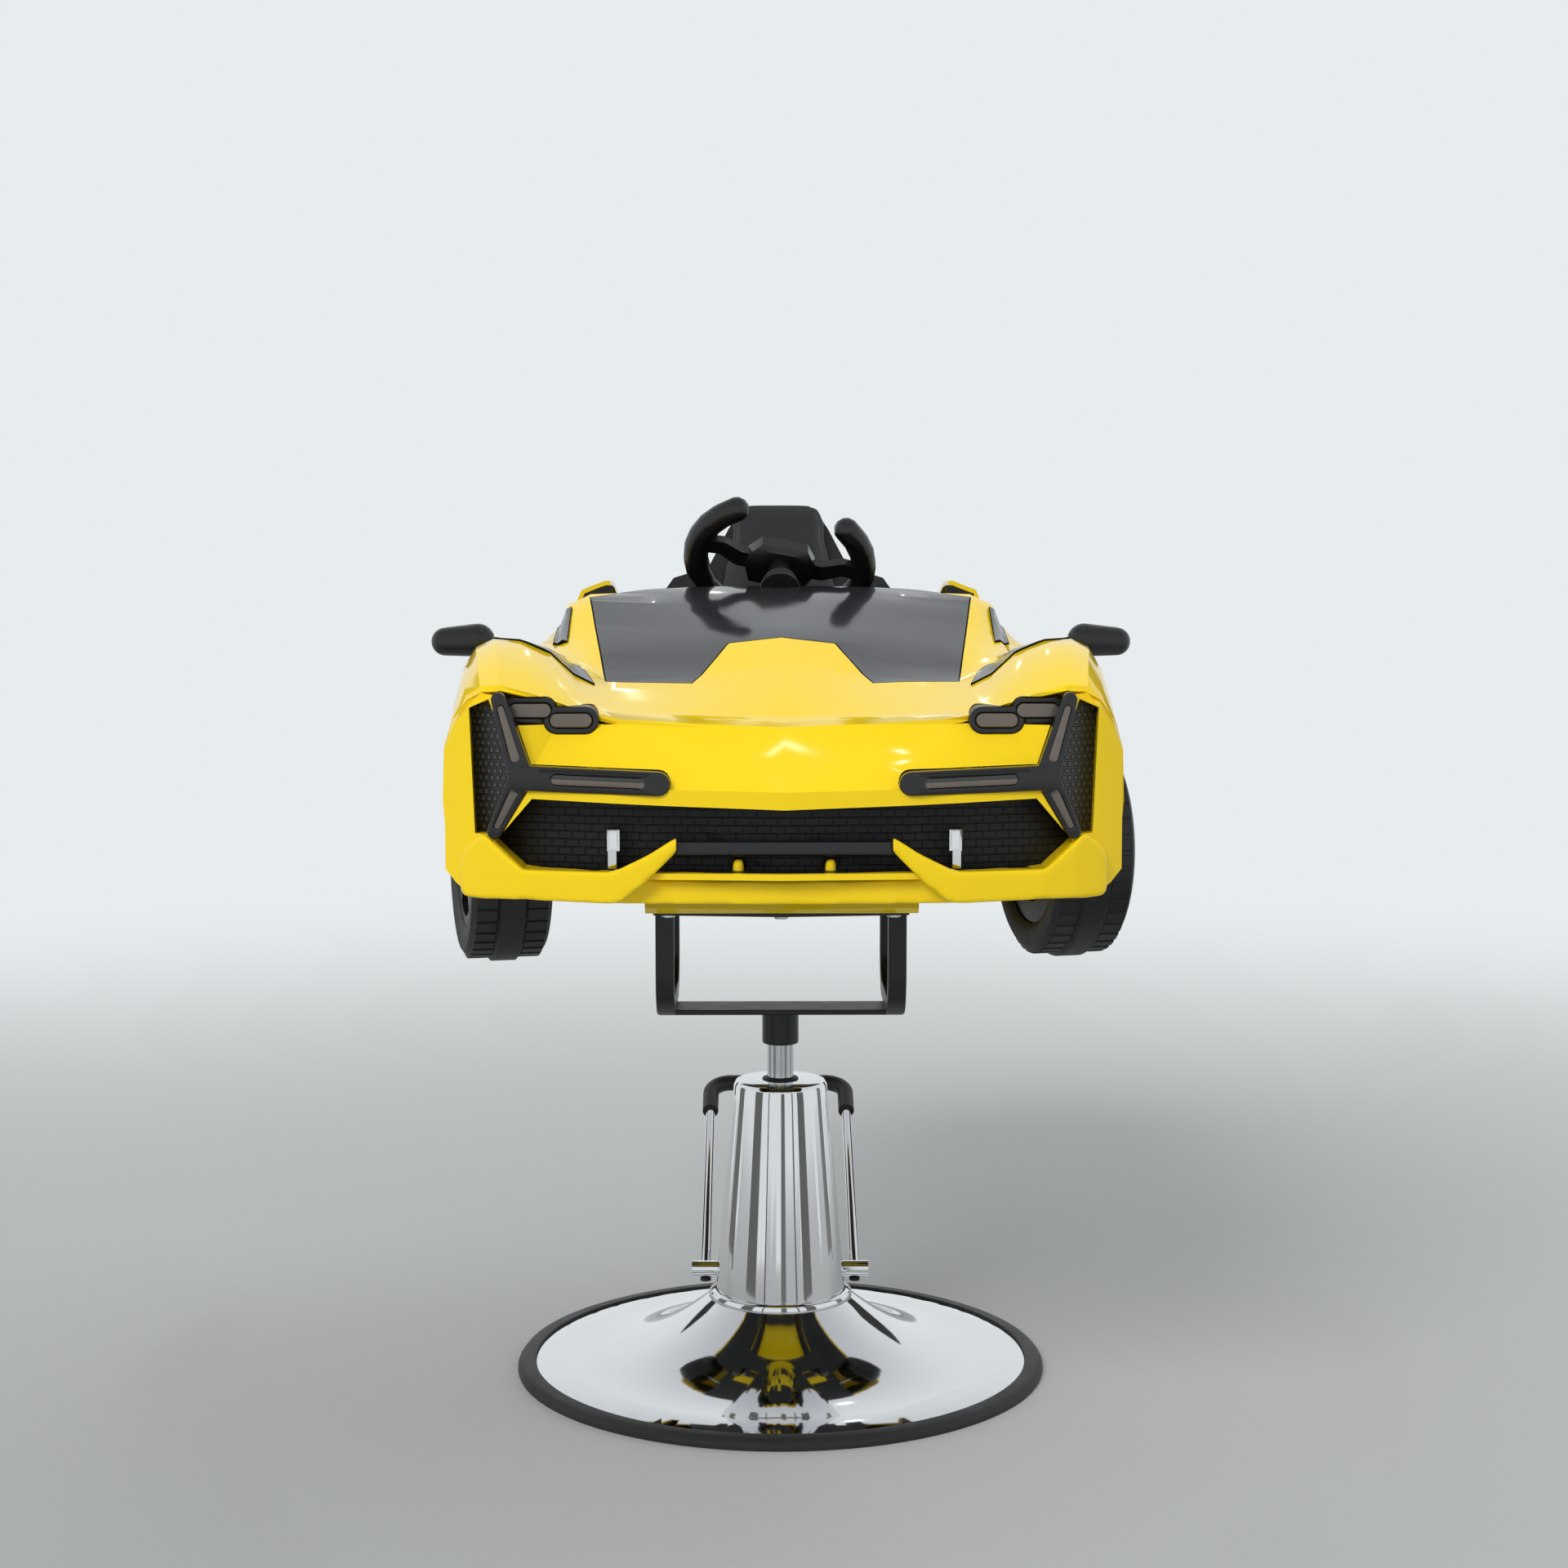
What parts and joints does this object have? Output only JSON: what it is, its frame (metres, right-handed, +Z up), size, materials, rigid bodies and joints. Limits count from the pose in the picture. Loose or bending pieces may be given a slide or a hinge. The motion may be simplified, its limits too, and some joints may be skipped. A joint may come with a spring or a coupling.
{
  "type": "children's barber chair",
  "caption": "Child's barber chair: a toy car body with seat, steering wheel and turning wheels on a swivelling hydraulic pump base with a foot lever",
  "frame": {"origin": "centre of the round base on the floor", "axes": "+Z up, the car's nose points along -Y, +X to the right when looking at the nose"},
  "size_m": [0.71, 1.0715, 0.9368],
  "materials": {
    "black_rubber": "satin moulded rubber",
    "chrome": "mirror-polished chrome plate",
    "zinc_steel": "bright machined steel",
    "dark_steel": "dark satin paint",
    "black_metal": "satin black powder coat",
    "yellow_body": "glossy golden yellow, moulded in colour and lacquered",
    "black_plastic": "fine-grained black plastic",
    "black_gloss": "gloss black plastic",
    "grey_panel": "dark grey satin-gloss panel",
    "smoke_lens": "smoked clear plastic",
    "mirror": "mirror film on plastic",
    "black_vinyl": "smooth black upholstery vinyl",
    "red_lens": "red moulded lens",
    "tyre_black": "hollow moulded black tyre"
  },
  "bodies": {
    "base": {"base_ring": "black_rubber", "base_plate": "chrome", "base_bolts": "zinc_steel", "foot_ring": "chrome", "column_cover": "chrome", "oil_cylinder": "dark_steel", "rod_wiper": "black_rubber", "pump_housing": "chrome"},
    "pump_lever": {"lever_shaft": "zinc_steel", "lever_collars": "chrome", "lever_screws": "black_metal", "lever_bar": "chrome", "lever_grip": "black_rubber"},
    "plunger": {"pump_plunger": "zinc_steel"},
    "piston": {"lift_rod": "zinc_steel"},
    "door_left": {"door_left": "yellow_body"},
    "door_right": {"door_right": "yellow_body"},
    "steering": {"steering_wheel": "black_plastic", "steering_column": "black_plastic"},
    "horn": {"horn_button": "black_gloss"},
    "knuckle_left": {"knuckle_left": "dark_steel"},
    "knuckle_right": {"knuckle_right": "dark_steel"},
    "tie_rod": {"tie_rod": "zinc_steel"},
    "wheel_front_left": {"wheel_front_left": "tyre_black"},
    "wheel_front_right": {"wheel_front_right": "tyre_black"},
    "wheel_rear_left": {"wheel_rear_left": "tyre_black"},
    "wheel_rear_right": {"wheel_rear_right": "tyre_black"},
    "carriage": {"swivel_socket": "black_metal", "foot_bar": "black_metal", "loop_left": "black_metal", "loop_right": "black_metal", "top_frame": "black_metal", "frame_bolts": "zinc_steel", "belly_pan": "yellow_body", "chassis_floor": "black_plastic", "body_shell": "yellow_body", "windscreen_panel": "grey_panel", "side_glass": "black_gloss", "fender_strips": "black_gloss", "nose_grille": "black_plastic", "grille_bar": "black_gloss", "corner_vents": "black_plastic", "light_surrounds": "black_gloss", "light_lenses": "smoke_lens", "headlamp_housings": "black_plastic", "headlamp_lenses": "smoke_lens", "front_splitter": "yellow_body", "tow_hooks": "chrome", "mirrors": "black_gloss", "mirror_glass": "mirror", "dash_panel": "black_plastic", "cockpit_tub": "black_plastic", "haunch_panels": "black_plastic", "seat_shell": "black_plastic", "seat_cushion": "black_vinyl", "back_cushion": "black_vinyl", "rear_trim": "black_plastic", "tail_lights": "red_lens", "front_axle_beam": "dark_steel", "rear_axle_rod": "zinc_steel"}
  },
  "joints": [
    {"name": "lift", "type": "slide", "parent": "base", "child": "piston", "axis": [0, 0, 1], "range_m": [-0.034, 0.11]},
    {"name": "swivel", "type": "hinge", "parent": "piston", "child": "carriage", "pos_m": [0, 0, 0.37], "axis": [0, 0, 1], "continuous": true},
    {"name": "lever_pivot", "type": "hinge", "parent": "base", "child": "pump_lever", "pos_m": [0, 0.045, 0.091], "axis": [-1, 0, 0], "range_deg": [0, 20], "stiffness_Nm_per_rad": 6, "springref_deg": -20.05},
    {"name": "plunger_slide", "type": "slide", "parent": "base", "child": "plunger", "axis": [0, 1, 0], "range_m": [0, 0.0085]},
    {"name": "door_left_hinge", "type": "hinge", "parent": "carriage", "child": "door_left", "pos_m": [-0.297, -0.075, 0.7], "axis": [0, 0, 1], "range_deg": [0, 50]},
    {"name": "door_right_hinge", "type": "hinge", "parent": "carriage", "child": "door_right", "pos_m": [0.297, -0.075, 0.7], "axis": [0, 0, -1], "range_deg": [0, 50]},
    {"name": "steering_turn", "type": "hinge", "parent": "carriage", "child": "steering", "pos_m": [0, 0.075, 0.8685], "axis": [0, 0.809, 0.5878], "range_deg": [-31, 5]},
    {"name": "horn_press", "type": "slide", "parent": "steering", "child": "horn", "axis": [0, -0.809, -0.5878], "range_m": [0, 0.002], "stiffness_N_per_m": 500, "springref_m": -0.0006},
    {"name": "kingpin_left", "type": "hinge", "parent": "carriage", "child": "knuckle_left", "pos_m": [-0.218, -0.277, 0.5975], "axis": [0, 0, 1], "range_deg": [-31, 5]},
    {"name": "kingpin_right", "type": "hinge", "parent": "carriage", "child": "knuckle_right", "pos_m": [0.218, -0.277, 0.5975], "axis": [0, 0, 1], "range_deg": [-31, 5]},
    {"name": "tie_rod_pin", "type": "hinge", "parent": "knuckle_left", "child": "tie_rod", "pos_m": [-0.2288, -0.23023, 0.586], "axis": [0, 0, 1], "range_deg": [-5, 31]},
    {"name": "wheel_front_left_spin", "type": "hinge", "parent": "knuckle_left", "child": "wheel_front_left", "pos_m": [-0.27062, -0.28915, 0.5975], "axis": [0.9744, 0.225, 0], "continuous": true},
    {"name": "wheel_front_right_spin", "type": "hinge", "parent": "knuckle_right", "child": "wheel_front_right", "pos_m": [0.27062, -0.26485, 0.5975], "axis": [0.9744, 0.225, 0], "continuous": true},
    {"name": "wheel_rear_left_spin", "type": "hinge", "parent": "carriage", "child": "wheel_rear_left", "pos_m": [-0.272, 0.315, 0.5975], "axis": [1, 0, 0], "continuous": true},
    {"name": "wheel_rear_right_spin", "type": "hinge", "parent": "carriage", "child": "wheel_rear_right", "pos_m": [0.272, 0.315, 0.5975], "axis": [1, 0, 0], "continuous": true}
  ],
  "couplings": [
    {"joint": "plunger_slide", "follows": "lever_pivot", "m_per_rad": 0.024},
    {"joint": "steering_turn", "follows": "kingpin_left", "ratio": 1},
    {"joint": "kingpin_right", "follows": "kingpin_left", "ratio": 1},
    {"joint": "tie_rod_pin", "follows": "kingpin_left", "ratio": -1}
  ]
}
